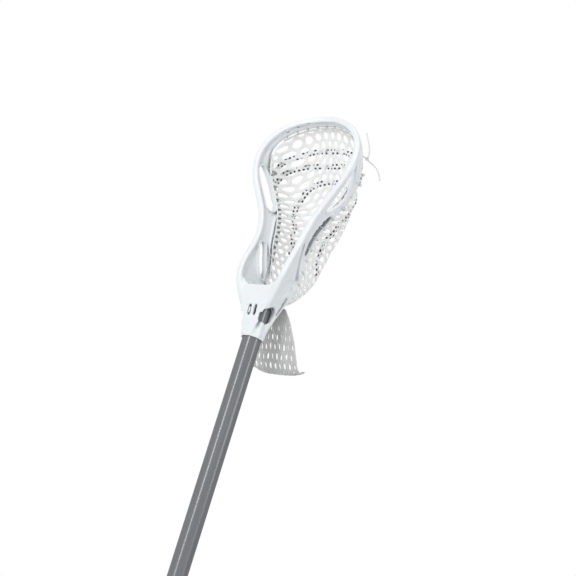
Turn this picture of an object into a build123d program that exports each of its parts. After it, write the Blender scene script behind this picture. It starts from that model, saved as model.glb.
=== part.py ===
from build123d import *

import math
import os

# A field lacrosse stick, in millimetres. +Z runs up the shaft to the scoop, +X is to the
# right of the open face, -Y is the open face and +Y the back, where the pocket hangs.
# The origin is the centre of the butt, on the end cap's flat bottom.

# Shaft: octagonal aluminium tube.
SHAFT_LENGTH = 762.0
SHAFT_FLATS = 24.8
SHAFT_WALL = 1.3
SHAFT_CORNER = 2.2

# End cap: rubber cup pulled over the butt.
CAP_FLOOR = 6.0
CAP_SKIRT = 24.0
CAP_WALL = 2.2
CAP_CLEARANCE = 0.05
CAP_ROUND = 2.0
CAP_LIP_ROUND = 0.8

# Socket of the head, which the shaft slides into.
SOCKET_DEPTH = 60.0
SOCKET_WALL = 1.9
SOCKET_FLOOR = 3.0
SOCKET_CLEARANCE = 0.15

# Screw that fixes the head to the shaft, through the back of the socket.
SCREW_HEIGHT = 20.0
SCREW_RADIUS = 2.0
SCREW_HEAD_RADIUS = 3.8
SCREW_HEAD_HEIGHT = 2.4
SCREW_LENGTH = 9.0
SCREW_CLEARANCE = 0.06
SCREW_ROUND = 0.9
KEY_RADIUS = 1.4

# Sidewall of the head: two rails joined by a thinner, recessed web.
FACE_RAIL_WIDTH = 8.5
FACE_RAIL_HEIGHT = 5.5
BACK_RAIL_WIDTH = 6.0
BACK_RAIL_HEIGHT = 6.0
WEB_THICKNESS = 3.0
WEB_RECESS = 2.4
EDGE_CHAMFER = 1.2

# Ball stop: curved wall across the bottom of the pocket, with a foam pad on it.
STOP_LOW = 66.0
STOP_RISE = 15.0
STOP_THICKNESS = 3.2
STOP_FACE_Y = -21.0
STOP_BACK_Y = 17.5
RIB_LENGTH = 30.0
RIB_THICKNESS = 6.0
PAD_THICKNESS = 3.5
PAD_MARGIN = 4.0

# Throat plate on the face side, with two slots that show the shaft.
PLATE_THICKNESS = 3.0
PLATE_LOW_HALF = 7.0
PLATE_HIGH_HALF = 31.0
PLATE_INSET = 1.0
SLOT_WIDTH = 4.0
SLOT_HEIGHT = 15.0
SLOT_OFFSET = 4.6
SLOT_CENTRE = 35.0

# Mesh, strings and laces.
MESH_THICKNESS = 2.0
MESH_GAP = 0.8
STRING_DIAMETER = 2.4
TAIL_DIAMETER = 2.0
LACE_DIAMETER = 3.6
LOW_KNOT_RADIUS = 3.0
HIGH_KNOT_RADIUS = 2.5
LOW_KNOT_DEPTH = 1.9
KNOT_REACH = (7.0, 8.6, -2.6)
STRING_BITE = 0.3
STRING_END = 11

# The head is measured from a datum THROAT_HEIGHT below the end of the shaft inside it.
THROAT_HEIGHT = 60.0
SHAFT_TOP = CAP_FLOOR + SHAFT_LENGTH
HEAD_BASE = SHAFT_TOP - THROAT_HEIGHT
SOCKET_RIM = THROAT_HEIGHT - SOCKET_DEPTH
SOCKET_BORE = SHAFT_FLATS + 2 * SOCKET_CLEARANCE
SOCKET_FLATS = SOCKET_BORE + 2 * SOCKET_WALL
SOCKET_HALF = SOCKET_FLATS / 2

# Stations up the right sidewall, measured from the head's datum:
# x and z of the face rail's outer edge, y of the face, y of the back, and how far the back
# rail stands inside the face rail.
STATIONS = [
    (SOCKET_HALF + 0.2, 2.0, -7.0, 7.0, 0.0),
    (SOCKET_HALF + 2.2, 18.0, -10.0, 9.0, 0.5),
    (SOCKET_HALF + 6.4, 34.0, -14.2, 12.0, 1.5),
    (29.4, 54.0, -20.4, 16.5, 4.5),
    (38.8, 80.0, -25.0, 22.5, 8.0),
    (41.6, 106.0, -21.5, 23.2, 9.2),
    (41.4, 135.0, -12.8, 22.8, 8.2),
    (45.5, 165.0, -8.0, 26.0, 6.6),
    (58.5, 195.0, -8.0, 31.4, 6.4),
    (73.8, 222.0, -9.7, 31.0, 6.2),
    (84.0, 250.0, -10.5, 21.5, 5.4),
    (83.4, 280.0, -9.4, 9.0, 4.0),
    (67.5, 306.0, -6.6, 8.6, 3.6),
    (36.0, 325.0, -1.5, 12.6, 3.6),
]
SCOOP_STATION = (0.0, 332.5, 4.7, 18.0, 3.6)

# The ball stop reaches both back rails at the station where the throat ends.
THROAT_END = 4
STOP_HALF = STATIONS[THROAT_END][0] - STATIONS[THROAT_END][4]

# Windows through each sidewall, as (y, z) outlines measured from the head's datum.
WINDOW_TOP = [
    (-3.5, 250), (-1.5, 236), (0.5, 222), (2.5, 206), (4, 191), (12, 190),
    (19, 197), (24, 210), (23.5, 222), (18, 236), (9, 250), (1, 257),
]
WINDOW_MIDDLE = [
    (24, 195), (17, 181), (13, 166), (11, 150), (11, 139), (12.5, 128),
    (16, 127), (17, 140), (18.5, 155), (21, 170), (24.5, 184),
]
WINDOW_LOW = [
    (-3.5, 139), (-2.8, 124), (1.5, 107), (8, 93), (13, 89), (16.5, 93),
    (12.5, 106), (8, 119), (5, 132), (2, 140),
]
THROAT_OPENING = [(-19, 22), (-16, 37), (-7, 43), (1, 46), (5.5, 42), (5.5, 27), (0, 22), (-8, 21)]
SHAFT_WINDOW = [(-13, 23), (-13, 38), (-7, 43), (1, 46), (5.5, 42), (5.5, 27), (0, 22), (-8, 21)]
WINDOW_CORNER = 1.6
# How far from the middle each window's cut starts and ends.
WINDOW_CUT = (20.0, 100.0)
THROAT_CUT = (SOCKET_HALF - 2.0, 40.0)
SHAFT_CUT = (SOCKET_HALF - 6.0, SOCKET_HALF)

# Pocket: y of its deepest line at each station, from the throat to the scoop. Its rim
# follows the back rails, and its top stops POCKET_GAP below the scoop's rail.
POCKET_FIRST = 3
POCKET_DEEP = [24.5, 58.0, 77.0, 89.0, 95.0, 96.0, 83.0, 66.0, 50.0, 38.0, 29.0]
POCKET_TOP = (9.0, 17.4, 22.0)
POCKET_GAP = 1.4

# Tail of the mesh below the bottom string: y, z and half width down its middle.
TAIL = [
    (24.0, 55.0, 19.0),
    (31.0, 38.0, 29.0),
    (42.0, 15.0, 36.0),
    (54.0, -9.0, 39.0),
    (63.0, -20.0, 40.0),
    (71.0, -21.0, 40.0),
    (77.0, -15.0, 39.0),
]

# Shooting laces: height on the pocket's centre line and drop from there to the rims. The
# laces stay level across the pocket's middle and fall away near the rims.
LACE_TOP = (297.0, 30.0)
LACE_MIDDLE = (279.0, 26.0)
LACE_FALL = 4
# U-shaped lace, from its crossing to the end of one leg: degrees from the pocket's
# centre line, and height.
LACE_U = [
    (14, 260), (34, 255), (46, 246), (52, 236), (58, 222), (60, 207),
    (56, 194), (52, 180), (48, 166), (43, 152), (33, 138), (25, 122),
]

# Free ends of the strings, as routes from their knots, measured from the head's datum.
TAIL_UP = [(80.6, 20.4, 274), (80.4, 21.6, 282), (78.6, 20.6, 291), (76.0, 17.0, 300), (73.0, 13.5, 309)]
TAIL_OUT = [
    (81.2, 20.0, 273.2),
    (82.0, 24.8, 272.4),
    (84.0, 30.6, 271.5),
    (87.2, 37.0, 269.0),
    (89.6, 42.2, 263.4),
    (90.6, 45.6, 256.6),
]
TAIL_LOW = [
    (-6, 20.6, 54),
    (-4.6, 24.2, 45),
    (-1.2, 28.2, 36),
    (3.2, 32.6, 27),
    (7.4, 36.4, 18.4),
    (12.2, 40.6, 10.4),
]


def octagon(flats, corner=0.0):
    """Flat-sided octagon with a flat towards +X."""
    shape = RegularPolygon(flats / 2, 8, major_radius=False, rotation=22.5)
    if corner:
        shape = fillet(shape.vertices(), corner)
    return shape


def lift(shape, height=HEAD_BASE):
    return Pos(0, 0, height) * shape


def rail_path():
    """Stations from the right socket side, over the scoop, to the left socket side."""
    left = [(-x, z, face, back, inset) for x, z, face, back, inset in reversed(STATIONS)]
    return STATIONS + [SCOOP_STATION] + left


def outward(path, index):
    """Unit vector out of the head, square to the rail path, in the XZ plane."""
    before = path[max(index - 1, 0)]
    after = path[min(index + 1, len(path) - 1)]
    run = Vector(after[0] - before[0], 0, after[1] - before[1]).normalized()
    return Vector(run.Z, 0, -run.X)


def wall_profile(face, back, inset):
    """Section of the sidewall, as (outwards, y) points from the face rail's outer edge."""
    face_low = face + min(FACE_RAIL_HEIGHT, (back - face) * 0.3)
    back_high = back - min(BACK_RAIL_HEIGHT, (back - face) * 0.3)
    blend = WEB_RECESS * 0.7
    inner = WEB_RECESS + WEB_THICKNESS
    return [
        (0, face + EDGE_CHAMFER),
        (-EDGE_CHAMFER, face),
        (-FACE_RAIL_WIDTH + EDGE_CHAMFER, face),
        (-FACE_RAIL_WIDTH, face + EDGE_CHAMFER),
        (-FACE_RAIL_WIDTH, face_low - EDGE_CHAMFER),
        (-inner, face_low + blend),
        (-inset - inner, back_high - blend),
        (-inset - BACK_RAIL_WIDTH, back_high),
        (-inset - BACK_RAIL_WIDTH, back),
        (-inset, back),
        (-inset, back_high),
        (-inset - WEB_RECESS, back_high - blend),
        (-WEB_RECESS, face_low + blend),
        (0, face_low),
    ]


def wall_sections():
    path = rail_path()
    sections = []
    for index, (x, z, face, back, inset) in enumerate(path):
        out = outward(path, index)
        plane = Plane(origin=(x, 0, z), x_dir=out, z_dir=out.cross(Vector(0, 1, 0)))
        outline = Polyline(*wall_profile(face, back, inset), close=True)
        sections.append(plane * make_face(outline))
    return sections


def back_rail_point(index, depth=0.0, inwards=BACK_RAIL_WIDTH / 2):
    """Point on the back rail at a station of the full path, depth mm behind the rail."""
    path = rail_path()
    x, z, _, back, inset = path[index]
    out = outward(path, index)
    shift = out * -(inset + inwards)
    return Vector(x + shift.X, back + depth, z + shift.Z)


def side_cutter(outline, side, span):
    """Rounded (y, z) outline cut along X over a span on one side."""
    near, far = sorted((side * span[0], side * span[1]))
    shape = make_face(Plane.YZ * Polyline(*outline, close=True))
    shape = fillet(shape.vertices(), WINDOW_CORNER)
    return extrude(Pos(near, 0, 0) * shape, far - near, dir=(1, 0, 0))


def stop_band(start, thickness, face, back, half):
    """Band that follows the ball stop's arc, from start mm below its upper face."""
    radius = (STOP_HALF**2 + STOP_RISE**2) / (2 * STOP_RISE)
    ring = Circle(radius + start + thickness) - Circle(radius + start)
    ring = ring & Pos(0, -radius) * Rectangle(2 * half, 2 * STOP_RISE + 2 * thickness)
    return Pos(0, face, STOP_LOW + radius) * extrude(Plane.XZ * ring, -(back - face))


def shaft():
    tube = octagon(SHAFT_FLATS, SHAFT_CORNER) - octagon(SHAFT_FLATS - 2 * SHAFT_WALL, SHAFT_CORNER)
    tube = lift(extrude(tube, SHAFT_LENGTH), CAP_FLOOR)
    hole = Cylinder(SCREW_RADIUS + SCREW_CLEARANCE, SHAFT_FLATS / 2, rotation=(90, 0, 0))
    return tube - Pos(0, SHAFT_FLATS / 2, HEAD_BASE + SCREW_HEIGHT) * hole


def end_cap():
    outer = SHAFT_FLATS + 2 * (CAP_CLEARANCE + CAP_WALL)
    cap = extrude(octagon(outer, SHAFT_CORNER + CAP_WALL), CAP_FLOOR + CAP_SKIRT)
    rims = cap.edges().group_by(Axis.Z)
    cap = fillet(rims[0], CAP_ROUND)
    cap = fillet(cap.edges().group_by(Axis.Z)[-1], CAP_LIP_ROUND)
    bore = extrude(octagon(SHAFT_FLATS + 2 * CAP_CLEARANCE, SHAFT_CORNER), CAP_SKIRT)
    return cap - lift(bore, CAP_FLOOR)


def throat_plate():
    """Face side of the throat: widens and slopes forward from the socket to the ball stop."""
    front = -SOCKET_HALF + 0.4 * PLATE_THICKNESS
    low = Pos(0, front, PLATE_INSET) * Rectangle(2 * PLATE_LOW_HALF, PLATE_THICKNESS)
    top = STOP_LOW + STOP_THICKNESS
    high = Pos(0, STOP_FACE_Y + PLATE_INSET, top) * Rectangle(2 * PLATE_HIGH_HALF, PLATE_THICKNESS)
    return loft([low, high])


def head():
    wall = loft(wall_sections())
    socket = extrude(octagon(SOCKET_FLATS, SHAFT_CORNER + SOCKET_WALL), SOCKET_DEPTH + SOCKET_FLOOR)
    socket = lift(socket, SOCKET_RIM)
    stop = stop_band(0, STOP_THICKNESS, STOP_FACE_Y, STOP_BACK_Y, STOP_HALF)
    rib = Pos(0, 0, (THROAT_HEIGHT + STOP_LOW) / 2) * Box(RIB_LENGTH, RIB_THICKNESS, STOP_LOW - THROAT_HEIGHT)
    body = wall + socket + throat_plate() + stop + rib
    for side in (1, -1):
        for outline in (WINDOW_TOP, WINDOW_MIDDLE, WINDOW_LOW):
            body -= side_cutter(outline, side, WINDOW_CUT)
        body -= side_cutter(THROAT_OPENING, side, THROAT_CUT)
        body -= side_cutter(SHAFT_WINDOW, side, SHAFT_CUT)
        slot = SlotOverall(SLOT_HEIGHT, SLOT_WIDTH, rotation=90)
        slot = extrude(Plane.XZ * slot, SOCKET_FLATS)
        body -= Pos(side * SLOT_OFFSET, 0, SLOT_CENTRE) * slot
    bore = extrude(octagon(SOCKET_BORE, SHAFT_CORNER), SOCKET_DEPTH + THROAT_HEIGHT)
    body -= lift(bore, -SOCKET_DEPTH)
    hole = Cylinder(SCREW_RADIUS + 2 * SCREW_CLEARANCE, SOCKET_HALF, rotation=(90, 0, 0))
    body -= Pos(0, SOCKET_HALF, SCREW_HEIGHT) * hole
    return lift(body)


def ball_stop_pad():
    half = STOP_HALF - BACK_RAIL_WIDTH - PAD_MARGIN
    face = STOP_FACE_Y + PAD_MARGIN
    back = STOP_BACK_Y - PAD_MARGIN
    return lift(stop_band(-PAD_THICKNESS, PAD_THICKNESS, face, back, half))


def head_screw():
    head_end = Cylinder(SCREW_HEAD_RADIUS, SCREW_HEAD_HEIGHT)
    head_end = fillet(head_end.edges().group_by(Axis.Z)[-1], SCREW_ROUND)
    recess = extrude(RegularPolygon(KEY_RADIUS, 6), SCREW_HEAD_HEIGHT / 2)
    head_end = Pos(0, 0, SCREW_HEAD_HEIGHT / 2) * (head_end - recess)
    shank = Pos(0, 0, -SCREW_LENGTH / 2) * Cylinder(SCREW_RADIUS, SCREW_LENGTH)
    screw = Rot(-90, 0, 0) * (head_end + shank)
    return lift(Pos(0, SOCKET_HALF, SCREW_HEIGHT) * screw)


def pocket_sections():
    """Height, half width inside, y of the rim and y of the deepest line, from the throat up."""
    rows = []
    for step, deep in enumerate(POCKET_DEEP):
        rim = back_rail_point(POCKET_FIRST + step, inwards=BACK_RAIL_WIDTH + MESH_GAP)
        rows.append((rim.Z, rim.X - MESH_THICKNESS, rim.Y, deep))
    scoop = back_rail_point(len(STATIONS), inwards=BACK_RAIL_WIDTH + POCKET_GAP)
    rows.append((scoop.Z, *POCKET_TOP))
    return rows


def pocket_row(height):
    """Section of the pocket at any height, between the two nearest sections."""
    rows = pocket_sections()
    for low, high in zip(rows, rows[1:]):
        if height <= high[0]:
            share = (height - low[0]) / (high[0] - low[0])
            return [first + share * (last - first) for first, last in zip(low, high)]
    return rows[-1]


def pocket_point(row, degrees, out):
    """Point on a pocket section, out mm outside its inner face; 0 degrees is the deepest."""
    height, half, rim, deep = row
    turn = math.radians(degrees)
    return ((half + out) * math.sin(turn), rim + (deep - rim + out) * math.cos(turn), height)


def pocket_mesh():
    faces = []
    for row in pocket_sections():
        outer = [pocket_point(row, angle, MESH_THICKNESS) for angle in range(-90, 91, 30)]
        inner = [pocket_point(row, angle, 0) for angle in range(90, -91, -30)]
        outline = Spline(*outer) + Line(outer[-1], inner[0]) + Spline(*inner) + Line(inner[-1], outer[0])
        faces.append(make_face(outline))
    return lift(loft(faces))


def mesh_tail():
    faces = []
    for index, (y, z, half) in enumerate(TAIL):
        before = TAIL[max(index - 1, 0)]
        after = TAIL[min(index + 1, len(TAIL) - 1)]
        run = Vector(0, after[0] - before[0], after[1] - before[1])
        plane = Plane(origin=(0, y, z), x_dir=(1, 0, 0), z_dir=run)
        faces.append(plane * Rectangle(2 * half, MESH_THICKNESS))
    return lift(loft(faces, ruled=True))


def cord(name, points, diameter):
    """Round cord along straight runs and tangent arcs, each as large as its runs allow."""
    points = [Vector(*point) for point in points]
    radii = []
    for before, here, after in zip(points, points[1:], points[2:]):
        first = here - before
        second = after - here
        turn = math.radians(first.get_angle(second))
        radii.append(0.45 * min(first.length, second.length) / math.tan(turn / 2))
    line = FilletPolyline(*points, radius=radii)
    section = Plane(origin=line @ 0, z_dir=line % 0) * Circle(diameter / 2)
    tube = sweep(section, path=line)
    expected = math.pi * diameter**2 / 4 * line.length
    print(f"  {name}: {line.length:.1f} long, tightest {min(radii):.1f}, volume ratio {tube.volume / expected:.4f}")
    return lift(tube)


def rail_string(name, first, last):
    """String that runs along the back rail from one station to another."""
    depth = STRING_DIAMETER / 2 - STRING_BITE
    inwards = BACK_RAIL_WIDTH + STRING_BITE
    points = [back_rail_point(index, depth, inwards) for index in range(first, last + 1)]
    return cord(name, points, STRING_DIAMETER)


def top_string():
    scoop = len(STATIONS)
    return rail_string("top_string", scoop - 2, scoop + 2)


def sidewall_string_right():
    return rail_string("sidewall_string_right", THROAT_END, STRING_END)


def sidewall_string_left():
    last = 2 * len(STATIONS)
    return rail_string("sidewall_string_left", last - STRING_END, last - THROAT_END)


def bottom_string():
    row = pocket_sections()[0]
    drop = Vector(0, 0, -STRING_DIAMETER / 2 + STRING_BITE)
    points = [Vector(*pocket_point(row, angle, MESH_THICKNESS / 2)) + drop for angle in range(-90, 91, 30)]
    return cord("bottom_string", points, STRING_DIAMETER)


def crossing_lace(name, middle, drop):
    points = []
    for angle in range(-80, 81, 20):
        row = pocket_row(middle - drop * (angle / 80) ** LACE_FALL)
        points.append(pocket_point(row, angle, MESH_THICKNESS / 2))
    return cord(name, points, LACE_DIAMETER)


def shooting_lace_top():
    return crossing_lace("shooting_lace_top", *LACE_TOP)


def shooting_lace_middle():
    return crossing_lace("shooting_lace_middle", *LACE_MIDDLE)


def shooting_lace_u():
    right = [pocket_point(pocket_row(z), angle, MESH_THICKNESS / 2) for angle, z in LACE_U]
    left = [(-x, y, z) for x, y, z in reversed(right)]
    return cord("shooting_lace_u", left + right, LACE_DIAMETER)


def rod(start, end, diameter):
    """Straight round piece between two points."""
    line = Vector(*end) - Vector(*start)
    circle = Plane(origin=start, z_dir=line) * Circle(diameter / 2)
    return extrude(circle, line.length, dir=line)


def knots(side):
    """Knots at both ends of one sidewall string; the upper one stands off its rail."""
    low = back_rail_point(THROAT_END, LOW_KNOT_DEPTH, BACK_RAIL_WIDTH)
    high = back_rail_point(STRING_END, STRING_DIAMETER / 2 - STRING_BITE, BACK_RAIL_WIDTH)
    start = (side * high.X, high.Y, high.Z)
    end = (side * (high.X + KNOT_REACH[0]), high.Y + KNOT_REACH[1], high.Z + KNOT_REACH[2])
    upper = rod(start, end, STRING_DIAMETER) + Pos(*end) * Sphere(HIGH_KNOT_RADIUS)
    lower = Pos(side * low.X, low.Y, low.Z) * Sphere(LOW_KNOT_RADIUS)
    return Compound([lift(lower), lift(upper)])


def sidewall_knots_right():
    return knots(1)


def sidewall_knots_left():
    return knots(-1)


def string_tail_up():
    return cord("string_tail_up", TAIL_UP, TAIL_DIAMETER)


def string_tail_out():
    return cord("string_tail_out", TAIL_OUT, TAIL_DIAMETER)


def string_tail_low():
    return cord("string_tail_low", TAIL_LOW, TAIL_DIAMETER)


PARTS = [
    shaft, end_cap, head, head_screw, ball_stop_pad,
    pocket_mesh, mesh_tail, top_string, sidewall_string_left, sidewall_string_right,
    bottom_string, shooting_lace_top, shooting_lace_middle, shooting_lace_u,
    sidewall_knots_left, sidewall_knots_right, string_tail_up, string_tail_out, string_tail_low,
]


def main():
    os.makedirs("parts", exist_ok=True)
    for maker in PARTS:
        shape = maker()
        name = maker.__name__
        print(name, len(shape.solids()), round(shape.volume))
        export_step(shape, f"parts/{name}.step")


main()
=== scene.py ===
import math
import random

import bpy
from mathutils import Matrix, Vector
from mathutils.bvhtree import BVHTree


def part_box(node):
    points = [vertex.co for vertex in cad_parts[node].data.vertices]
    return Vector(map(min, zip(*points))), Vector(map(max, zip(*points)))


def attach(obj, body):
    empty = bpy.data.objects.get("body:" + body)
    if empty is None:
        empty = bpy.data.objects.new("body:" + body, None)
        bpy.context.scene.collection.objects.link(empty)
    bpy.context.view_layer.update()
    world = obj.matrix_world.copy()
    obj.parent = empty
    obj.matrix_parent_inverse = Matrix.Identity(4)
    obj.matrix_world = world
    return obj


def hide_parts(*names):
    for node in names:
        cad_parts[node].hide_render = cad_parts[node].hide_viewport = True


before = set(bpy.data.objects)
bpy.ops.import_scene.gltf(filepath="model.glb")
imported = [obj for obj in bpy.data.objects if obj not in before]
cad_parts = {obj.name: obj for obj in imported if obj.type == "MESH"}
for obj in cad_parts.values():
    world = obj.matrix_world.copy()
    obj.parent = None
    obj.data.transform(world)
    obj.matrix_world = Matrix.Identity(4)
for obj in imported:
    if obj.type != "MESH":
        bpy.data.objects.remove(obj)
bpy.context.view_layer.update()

# --- The studio ---------------------------------------------------------------------
# The stick stands on its butt on a pale floor. The lens looks up at the head from in
# front and to its right, and is rolled, so that the stick leans across the frame.
AIM = Vector((0, 0, 0.858))
CAMERA_AZIMUTH = math.radians(40.44)
CAMERA_ELEVATION = math.radians(-19.66)
CAMERA_ROLL = math.radians(17.5)
CAMERA_DISTANCE = 2.183
CAMERA_LENS = 102.9
SENSOR_WIDTH = 36
# Where the aim point sits in the frame, in shares of the frame's width from its middle.
AIM_RIGHT = -0.00596
AIM_UP = 0.09137

bpy.ops.object.select_all(action="DESELECT")
back = Vector((
    math.sin(CAMERA_AZIMUTH) * math.cos(CAMERA_ELEVATION),
    -math.cos(CAMERA_AZIMUTH) * math.cos(CAMERA_ELEVATION),
    math.sin(CAMERA_ELEVATION),
))
level = Vector((math.cos(CAMERA_AZIMUTH), math.sin(CAMERA_AZIMUTH), 0))
rise = back.cross(level)
right = math.cos(CAMERA_ROLL) * level + math.sin(CAMERA_ROLL) * rise
up = math.cos(CAMERA_ROLL) * rise - math.sin(CAMERA_ROLL) * level
spot = AIM + back * CAMERA_DISTANCE
bpy.ops.object.camera_add(location=spot)
camera = bpy.context.object
camera.data.lens = CAMERA_LENS
camera.data.sensor_width = SENSOR_WIDTH
camera.data.clip_end = 20
# The lens turns away from the aim point until that point sits where the frame wants it.
focal = CAMERA_LENS / SENSOR_WIDTH
forward = (-back * focal - right * AIM_RIGHT - up * AIM_UP).normalized()
side = forward.cross(up).normalized()
top = side.cross(forward)
turn = Matrix((side, top, -forward)).transposed()
camera.matrix_world = Matrix.Translation(spot) @ turn.to_4x4()
bpy.context.scene.camera = camera

bpy.context.scene.view_settings.view_transform = "Standard"


def colour(code):
    """sRGB hex code as linear red, green, blue and alpha."""
    parts = [int(code[i:i + 2], 16) / 255 for i in (0, 2, 4)]
    linear = [p / 12.92 if p <= 0.04045 else ((p + 0.055) / 1.055) ** 2.4 for p in parts]
    return (*linear, 1)


def add_node(tree, kind, settings=None, **links):
    """Adds a node with its settings; links name its inputs, and hold a value or a socket."""
    node = tree.nodes.new(kind)
    for name, value in (settings or {}).items():
        setattr(node, name, value)
    for name, value in links.items():
        socket = node.inputs[int(name[1:])] if name[0] == "i" and name[1:].isdigit() else None
        socket = socket or node.inputs[name.replace("_", " ")]
        if isinstance(value, bpy.types.NodeSocket):
            tree.links.new(value, socket)
        else:
            socket.default_value = value
    return node


# The sky is a white studio: the lens sees pure white, and the stick gets a softer light.
world = bpy.data.worlds.new("white_studio")
bpy.context.scene.world = world
world.use_nodes = True
sky = world.node_tree
sky.nodes.clear()
seen = add_node(sky, "ShaderNodeBackground", Color=colour("FFFFFF"), Strength=1.0)
heading = add_node(sky, "ShaderNodeTexCoord")
facing = add_node(sky, "ShaderNodeSeparateXYZ", Vector=heading.outputs["Generated"])
# The studio is brightest behind the lens and falls off towards the back wall.
falloff = add_node(
    sky, "ShaderNodeMapRange", Value=facing.outputs["Y"], From_Min=-1.0, To_Min=0.74, To_Max=0.5
)
lit = add_node(sky, "ShaderNodeBackground", Color=colour("F6F8FA"), Strength=falloff.outputs[0])
path = add_node(sky, "ShaderNodeLightPath")
pick = add_node(
    sky, "ShaderNodeMixShader",
    i0=path.outputs["Is Camera Ray"], i1=lit.outputs[0], i2=seen.outputs[0],
)
add_node(sky, "ShaderNodeOutputWorld", Surface=pick.outputs[0])


def soft_light(name, place, watts, size, height=None):
    """Softbox that faces the head, square or of its own height."""
    bpy.ops.object.light_add(type="AREA", location=place)
    light = bpy.context.object
    light.name = name
    light.data.energy = watts
    light.data.size = size
    if height:
        light.data.shape = "RECTANGLE"
        light.data.size_y = height
    light.rotation_euler = (AIM - Vector(place)).to_track_quat("-Z", "Y").to_euler()


# The key is a tall box: the shaft's rounded corner mirrors it as one long bright line.
soft_light("key_softbox", (0.15, -1.95, 1.3), 15, 0.45, 1.7)
soft_light("left_softbox", (-0.9, -1.9, 2.3), 6, 1.1)
soft_light("fill_softbox", (1.9, 0.3, 1.6), 12, 1.4)

bpy.ops.mesh.primitive_plane_add(size=8, location=(0, 0, -0.001))
floor = bpy.context.object
floor.name = "studio_floor"
painted = bpy.data.materials.new("matt_white_paint")
painted.use_nodes = True
coat = painted.node_tree.nodes["Principled BSDF"]
coat.inputs["Base Color"].default_value = colour("EDEDED")
coat.inputs["Roughness"].default_value = 0.85
floor.data.materials.append(painted)


# --- The strings' free ends -----------------------------------------------------------
# Braided polyester string, 2 mm thick. Each end hangs free from the knot that holds the
# sidewall string or the bottom string to the head, and is melted into a small hard bead.
# The datum is the lower end of the head, where its socket opens.
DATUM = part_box("head")[0][2]
MM = 0.001
STRING_DIAMETER = 2.0 * MM
# The melted bead's radius, in shares of the string's diameter.
BEAD = 0.62
# The ends' routes, from the knot to the tip, in millimetres from the datum.
END_UP = [
    (80.6, 20.4, 274),
    (80.4, 21.6, 282),
    (78.6, 20.6, 291),
    (76.0, 17.0, 300),
    (73.0, 13.5, 309),
]
END_OUT = [
    (81.2, 20.0, 273.2),
    (82.0, 24.8, 272.4),
    (84.0, 30.6, 271.5),
    (87.2, 37.0, 269.0),
    (89.6, 42.2, 263.4),
    (90.6, 45.6, 256.6),
]
END_LOW = [
    (-6, 20.6, 54),
    (-4.6, 24.2, 45),
    (-1.2, 28.2, 36),
    (3.2, 32.6, 27),
    (7.4, 36.4, 18.4),
    (12.2, 40.6, 10.4),
]


def placed(x, y, z):
    """Point measured in millimetres from the head's datum, as a place in the frame."""
    return Vector((x * MM, y * MM, DATUM + z * MM))


def new_material(name):
    """Empty material with a Principled shader on its output."""
    material = bpy.data.materials.new(name)
    material.use_nodes = True
    material.node_tree.nodes.clear()
    shader = material.node_tree.nodes.new("ShaderNodeBsdfPrincipled")
    add_node(material.node_tree, "ShaderNodeOutputMaterial", Surface=shader.outputs[0])
    return material, material.node_tree, shader


def set_finish(shader, **values):
    """Sets the shader's own sockets, named with underscores for spaces."""
    for name, value in values.items():
        shader.inputs[name.replace("_", " ")].default_value = value


# Braided polyester: the plait catches the light in fine slanted ridges, and the fibres
# leave it matt with a faint sheen. The ridges are drawn 1.4 mm apart.
braid, nodes, shader = new_material("braided_polyester_string")
set_finish(shader, Roughness=0.62, Sheen_Weight=0.25, Sheen_Roughness=0.4)
place = add_node(nodes, "ShaderNodeTexCoord")
where = add_node(
    nodes, "ShaderNodeMapping",
    i0=place.outputs["Object"], Scale=(830, 830, 830), Rotation=(0.6, 0.5, 0),
)
ridges = add_node(
    nodes, "ShaderNodeTexWave", {"bands_direction": "DIAGONAL"},
    Vector=where.outputs[0], Scale=0.32, Distortion=1.5,
)
tint = add_node(
    nodes, "ShaderNodeMix", {"data_type": "RGBA"},
    i0=ridges.outputs["Fac"], i6=colour("DDDCD9"), i7=colour("F3F2F0"),
)
nodes.links.new(tint.outputs[2], shader.inputs["Base Color"])
bump = add_node(nodes, "ShaderNodeBump", Height=ridges.outputs["Fac"], Strength=0.5, Distance=0.0004)
nodes.links.new(bump.outputs[0], shader.inputs["Normal"])


def free_end(name, node, body, route):
    """One free end of a string, from its knot to its melted tip."""
    curve = bpy.data.curves.new(name, "CURVE")
    curve.dimensions = "3D"
    curve.bevel_depth = STRING_DIAMETER / 2
    curve.bevel_resolution = 3
    curve.resolution_u = 10
    curve.use_fill_caps = True
    spline = curve.splines.new("NURBS")
    spline.points.add(len(route) - 1)
    for point, place in zip(spline.points, route):
        point.co = (*placed(*place), 1)
    spline.order_u = 3
    spline.use_endpoint_u = True
    piece = bpy.data.objects.new(name, curve)
    bpy.context.collection.objects.link(piece)
    curve.materials.append(braid)
    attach(piece, body)
    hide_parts(node)
    bpy.ops.object.select_all(action="DESELECT")
    bpy.ops.mesh.primitive_uv_sphere_add(
        segments=16, ring_count=10, radius=STRING_DIAMETER * BEAD, location=placed(*route[-1])
    )
    tip = bpy.context.object
    tip.name = name + "_melted_tip"
    bpy.ops.object.transform_apply(location=True, rotation=True, scale=True)
    bpy.ops.object.shade_smooth()
    tip.data.materials.append(braid)
    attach(tip, body)


free_end("string_end_up", "string_tail_up", "stick", END_UP)
free_end("string_end_out", "string_tail_out", "stick", END_OUT)
free_end("string_end_low", "string_tail_low", "tail", END_LOW)

# --- The shaft -------------------------------------------------------------------------
# Drawn aluminium tube, eight-sided. It is bead blasted, anodised grey and left satin, so
# its flats show soft lengthwise streaks and its corners catch a thin bright line.
SHAFT_FLATS = 24.8 * MM
SHAFT_WALL = 1.3 * MM
# The drawn tube's corners are rounded far enough to catch a soft line of light.
CORNER_ROUND = 6.0 * MM
CORNER_STEPS = 6
# Degrees past which the tube's edges stay sharp, as its cut ends are.
SHARP_EDGE = 40


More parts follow.
